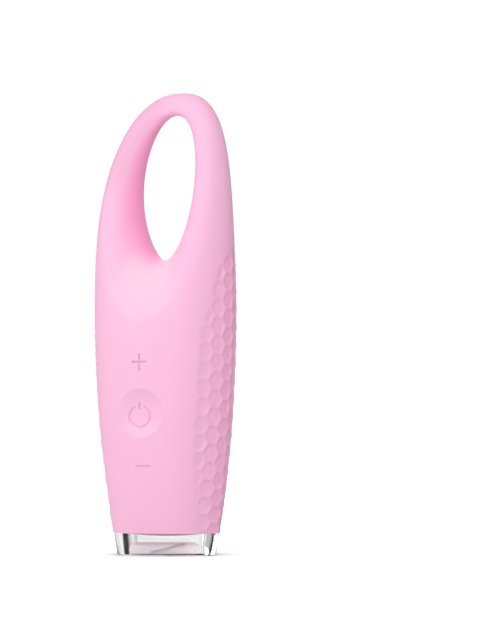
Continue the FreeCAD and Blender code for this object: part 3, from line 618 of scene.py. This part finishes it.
def markDistance(name, x, z):
    # Distance from the middle line of a key's mark
    bar = keySpec["barHalf"]
    if name == "plus":
        return np.minimum(barDistance(x, z, -bar, 0, bar, 0), barDistance(x, z, 0, -bar, 0, bar))
    if name == "minus":
        return barDistance(x, z, -bar, 0, bar, 0)
    x = (x - keySpec["ringX"]) / keySpec["ringStretch"]
    z = z - keySpec["ringZ"]
    radius, gap = keySpec["ringRadius"], keySpec["ringGap"]
    arc = np.abs(np.hypot(x, z) - radius)
    cap = np.hypot(np.abs(x) - radius * math.sin(gap), z - radius * math.cos(gap))
    tickFrom, tickTo = keySpec["tick"]
    ring = np.where(np.abs(np.arctan2(x, z)) > gap, arc, cap)
    return np.minimum(ring, barDistance(x, z, 0, tickFrom, 0, tickTo))


def makeKey(name):
    # One key: its front follows the body, pressed in by its dish and mark
    key = keySpec[name]
    fresh()
    bpy.ops.mesh.primitive_grid_add(x_subdivisions=key["cells"], y_subdivisions=key["cells"], size=2)
    pad = keep(name + "Key", silicone)
    p = points(pad) * mm  # in the grid's own units
    u, v = p[:, 0], p[:, 1]
    # The square grid becomes a disc
    x = key["radius"] * u * np.sqrt(1 - v * v / 2)
    z = key["radius"] * v * np.sqrt(1 - u * u / 2)
    edgeOut, edgeIn = keySpec["markEdge"]
    half = keySpec["markWidth"] / 2
    mark = ramp(half + edgeOut, half + edgeIn, markDistance(name, x, z))
    share = np.hypot(x, z) / key["radius"]
    pressed = keySpec["markDepth"] * mark + key["dish"] * (1 - share ** keySpec["dishPower"])
    y = frontAt(x, z + key["z"]) + pressed
    # Painted shade on the upper half of the dish, painted light on its lower half, and a darker tone in the
    # marks
    dished = ramp(*keySpec["dishRim"], share) * (key["dish"] > 0)
    rise = z / key["radius"]
    shade = keySpec["dishShade"] * dished * ramp(*keySpec["shadeRise"], rise)
    addLayer(pad, "darkMarksAndShade", key["tint"] * mark + shade)
    addLayer(pad, "paintedLight", keySpec["dishPaintedLight"] * dished * ramp(*keySpec["paintedLightRise"], rise))
    setPoints(pad, np.stack([x, y, z + key["z"]], 1))
    bpy.ops.object.mode_set(mode="EDIT")
    bpy.ops.mesh.select_all(action="SELECT")
    bpy.ops.mesh.extrude_region_move(TRANSFORM_OT_translate={"value": (0, keySpec["thick"] * mm, 0)})
    faceOutwards(pad)
    full = points(pad)
    back = full[len(p):]
    # The back keeps the form, under dish and mark
    back[:, 1] = frontAt(back[:, 0], back[:, 2]) + keySpec["thick"]
    setPoints(pad, full)
    smooth(pad, 40)
    polish(pad)
    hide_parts(name + "_key")
    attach(pad, name + "_button")


for keyName in ("power", "plus", "minus"):
    makeKey(keyName)
print("stage: keys made")


# Clear foot: a thick acrylic cup, a rounded insert on its floor and a pink plug that closes it from above

footSpec = {
    "inset": 0.25, "taper": 1.0, "wall": 5.0, "floor": 1.0, "cavityTaper": 0.3, "over": 1.0, "touch": 0.02,
    # outside, as heights and further insets: a round lower edge, the taper, and a rim that stands upright,
    # because light caught in the acrylic shows black there otherwise
    "outside": [(0.0, 0.5), (0.07, 0.28), (0.2, 0.1), (0.5, 0.0), (5.2, 0.0), (form["baseHeight"], 0.161)],
    "insertHeight": 3.0, "insertRound": 2.2, "insertGap": 0.2, "insertSteps": 12, "insertWallSteps": 4,
    "plugInset": 3.65, "plugTop": 9.7, "plugDome": 0.75,
    # painted shade along a streak across the front of the insert, as places along it from left to right and
    # heights
    "streakAlong": (-2.4, 0.4, 3.65, 5.0), "streakZ": (1.7, 2.38, 3.4, 3.65), "streakAngle": 30,
    "streakFadeBelow": 0.5, "streakFadeAbove": 0.12, "streakStart": (-5.0, -2.4), "streakEnd": (6.5, 4.5),
}


def footLevel(z, inset):
    lost = footSpec["inset"] + footSpec["taper"] * (1 - z / form["baseHeight"]) + inset
    return z, form["footHalfWidth"] - lost, form["footHalfDepth"] - lost


def cavityLevel(z, inset):
    wide, deep = form["footHalfWidth"] - footSpec["wall"], form["footHalfDepth"] - footSpec["wall"]
    return z, wide - inset, deep - inset


def lowDome(name, material, inset, rise, z):
    # A flattened ball, wide as the cavity less the inset
    wide, deep = cavityLevel(z, inset)[1:]
    fresh()
    bpy.ops.mesh.primitive_uv_sphere_add(segments=128, ring_count=64, radius=mm, location=(0, 0, z * mm),
                                         scale=(wide, deep, rise))
    bpy.ops.object.transform_apply(location=True, rotation=True, scale=True)
    return keep(name, material)


def addStreakShade(piece):
    # Painted shade below a line that climbs across the front of the insert, on its smooth surface
    p = points(piece)
    turn = math.radians(footSpec["streakAngle"])
    along = p[:, 0] * math.cos(turn) + p[:, 1] * math.sin(turn)
    drop = np.interp(along, footSpec["streakAlong"], footSpec["streakZ"]) - p[:, 2]
    fade = np.where(drop > 0, footSpec["streakFadeBelow"], footSpec["streakFadeAbove"])
    ends = ramp(*footSpec["streakStart"], along) * ramp(*footSpec["streakEnd"], along)
    addLayer(piece, "paintedStreak", np.exp(-np.abs(drop) / fade) * ends * (p[:, 1] < 0))


foot = ovalStack("foot", [footLevel(z, inset) for z, inset in footSpec["outside"]], acrylic)
hollow = [cavityLevel(footSpec["floor"], footSpec["cavityTaper"]), cavityLevel(form["baseHeight"], 0.0),
          cavityLevel(form["baseHeight"] + footSpec["over"], 0.0)]
cutAway(foot, ovalStack("footHollow", hollow, acrylic))
smooth(foot, 30)
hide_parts("clear_base")
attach(foot, "casing")

insertZ = footSpec["floor"] + footSpec["touch"]
insertTop = insertZ + footSpec["insertHeight"]
insertInset = footSpec["cavityTaper"] + footSpec["insertGap"]
insertRound, insertSteps = footSpec["insertRound"], footSpec["insertSteps"]
insertLevels = [cavityLevel(z, insertInset)
                for z in np.linspace(insertZ, insertTop - insertRound, footSpec["insertWallSteps"])]
for turn in np.radians(np.linspace(90 / insertSteps, 90, insertSteps)):
    insertLevels.append(cavityLevel(insertTop - insertRound * (1 - math.sin(turn)),
                                    insertInset + insertRound * (1 - math.cos(turn))))
insert = ovalStack("footInsert", insertLevels, glowingPalePlastic)
addStreakShade(insert)
smooth(insert, 40)
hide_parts("foot_insert")
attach(insert, "casing")

plugZ = form["baseHeight"] + footSpec["touch"]
plugLevels = [(z, *spanAt(z, footSpec["plugInset"])) for z in (plugZ, footSpec["plugTop"])]
plug = ovalStack("basePlug", plugLevels, pinkPlastic)
dome = lowDome("plugDome", pinkPlastic, footSpec["insertGap"], footSpec["plugDome"], plugZ)
applyModifier(plug, "BOOLEAN", operation="UNION", solver="EXACT", object=dome)
bpy.data.objects.remove(dome, do_unlink=True)
smooth(plug, 40)
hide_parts("base_plug")
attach(plug, "casing")
print("stage: foot made")


# Floor, light and camera

floorSpec = {
    "size": 8,
    # metres from the middle of the foot over which the floor brightens to plain white, as seen directly and
    # through the foot, and how bright it starts out through the foot
    "shadow": (0.012, 0.05), "through": (0.008, 0.03), "throughLow": 0.15,
}
flagSpec = {
    "distance": 60, "height": 25,
    # from and to in degrees round the foot, counted from the back, with the brightness seen through it
    "cards": [(-105, -66, 0.0), (-66, -58, 0.25), (-58, -50, 0.55), (-50, -46, 0.8), (-46, -41, 0.55),
              (-41, 0, 0.88), (0, 20, 0.8), (20, 45, 0.5), (150, 192, 0.0), (192, 200, 0.3),
              (200, 212, 0.5), (212, 235, 0.72)],
}
skySpec = {"light": 0.305, "seen": 1.05}
lampSpec = {
    "distance": 0.9, "aimZ": 0.07, "size": 0.45,
    # degrees round from the front, degrees up, and watts
    "lamps": {"leftLamp": (-45, 20, 3.2), "frontLamp": (15, 20, 1.85), "rightLamp": (45, 50, 3.5),
              "sideLamp": (90, 0, 0.35), "backLamp": (210, 25, 2.4)},
}


def addFlag(name, fromDegrees, toDegrees, shade):
    # Card seen only through the clear foot, which draws the dark and grey lines along its edges
    turn = math.radians((fromDegrees + toDegrees) / 2)
    wide = 2 * flagSpec["distance"] * math.tan(math.radians((toDegrees - fromDegrees) / 2))
    away = flagSpec["distance"] * mm
    fresh()
    bpy.ops.mesh.primitive_plane_add(
        size=mm, location=(away * math.sin(turn), away * math.cos(turn), flagSpec["height"] / 2 * mm),
        rotation=(math.pi / 2, 0, -turn))
    bpy.context.object.scale = (wide, flagSpec["height"], 1)
    bpy.ops.object.transform_apply(location=True, rotation=True, scale=True)
    paper = newMaterial(name + " paper", "000000", Roughness=1.0, Specular_IOR_Level=0.0,
                        Emission_Color=linear("ffffff"), Emission_Strength=shade)
    flag = keep(name, paper)
    flag.visible_camera = False
    flag.visible_diffuse = False
    flag.visible_glossy = False
    flag.visible_shadow = False


def addLamp(name, turnDegrees, riseDegrees, power):
    # Square soft box aimed at the middle of the body
    turn, rise = math.radians(turnDegrees), math.radians(riseDegrees)
    out = lampSpec["distance"] * math.cos(rise)
    up = lampSpec["aimZ"] + lampSpec["distance"] * math.sin(rise)
    fresh()
    bpy.ops.object.light_add(type="AREA", location=(out * math.sin(turn), -out * math.cos(turn), up),
                             rotation=(math.pi / 2 - rise, 0, turn))
    lamp = bpy.context.object
    lamp.name = name
    lamp.data.size = lampSpec["size"]
    lamp.data.energy = power


# Matt white paper: keeps the soft shadow round the foot and shows plain white further off
fresh()
bpy.ops.mesh.primitive_plane_add(size=floorSpec["size"], location=(0, 0, 0))
floorPaper = newMaterial("white floor paper", "f2f2f2", Roughness=0.9, Specular_IOR_Level=0.1,
                         Emission_Color=linear("ffffff"))
floorPath = addNode(floorPaper, "ShaderNodeLightPath")
floorPlace = addNode(floorPaper, "ShaderNodeTexCoord")
floorAway = addNode(floorPaper, "ShaderNodeVectorMath", links={0: (floorPlace, "Object")}, operation="LENGTH")
floorFade = addNode(floorPaper, "ShaderNodeMapRange",
                    {"From Min": floorSpec["shadow"][0], "From Max": floorSpec["shadow"][1]},
                    {"Value": (floorAway, "Value")})
floorSeen = addNode(floorPaper, "ShaderNodeMath", operation="MULTIPLY",
                    links={0: (floorPath, "Is Camera Ray"), 1: (floorFade, "Result")})
floorThrough = addNode(floorPaper, "ShaderNodeMapRange",
                       {"From Min": floorSpec["through"][0], "From Max": floorSpec["through"][1],
                        "To Min": floorSpec["throughLow"]}, {"Value": (floorAway, "Value")})
addNode(floorPaper, "ShaderNodeMath", operation="MULTIPLY_ADD", feeds=(0, "Emission Strength"),
        links={0: (floorPath, "Is Transmission Ray"), 1: (floorThrough, "Result"), 2: (floorSeen, 0)})
floor = keep("floor", floorPaper)

for number, card in enumerate(flagSpec["cards"]):
    addFlag("flag" + str(number + 1), *card)

# Sky: white where it is seen, directly or through the foot, and dimmer as light
world = bpy.context.scene.world or bpy.data.worlds.new("studio")
bpy.context.scene.world = world
world.use_nodes = True
world.node_tree.nodes["Background"].inputs["Color"].default_value = linear("ffffff")
skyPath = addNode(world, "ShaderNodeLightPath")
skySeen = addNode(world, "ShaderNodeMath", operation="ADD", use_clamp=True,
                  links={0: (skyPath, "Is Camera Ray"), 1: (skyPath, "Is Transmission Ray")})
addNode(world, "ShaderNodeMapRange", {"To Min": skySpec["light"], "To Max": skySpec["seen"]},
        {"Value": (skySeen, 0)}, ("Result", "Strength"), into="Background")

for lampName, place in lampSpec["lamps"].items():
    addLamp(lampName, *place)

cameraSpec = {"distance": 1.0, "azimuth": 30.0, "height": 0.035, "lens": 199.93, "pan": 1.194, "tilt": 1.772,
              "roll": 0.25}
turn = math.radians(cameraSpec["azimuth"])
bpy.ops.object.camera_add(
    location=(math.sin(turn) * cameraSpec["distance"], -math.cos(turn) * cameraSpec["distance"],
              cameraSpec["height"]),
    rotation=(math.pi / 2 + math.radians(cameraSpec["tilt"]), math.radians(cameraSpec["roll"]),
              turn - math.radians(cameraSpec["pan"])))
camera = bpy.context.object
camera.data.lens = cameraSpec["lens"]
camera.data.sensor_width = 36
camera.data.clip_start = 0.01
camera.data.dof.use_dof = False
bpy.context.scene.camera = camera
bpy.context.scene.view_settings.view_transform = "Standard"
print("stage: studio made")
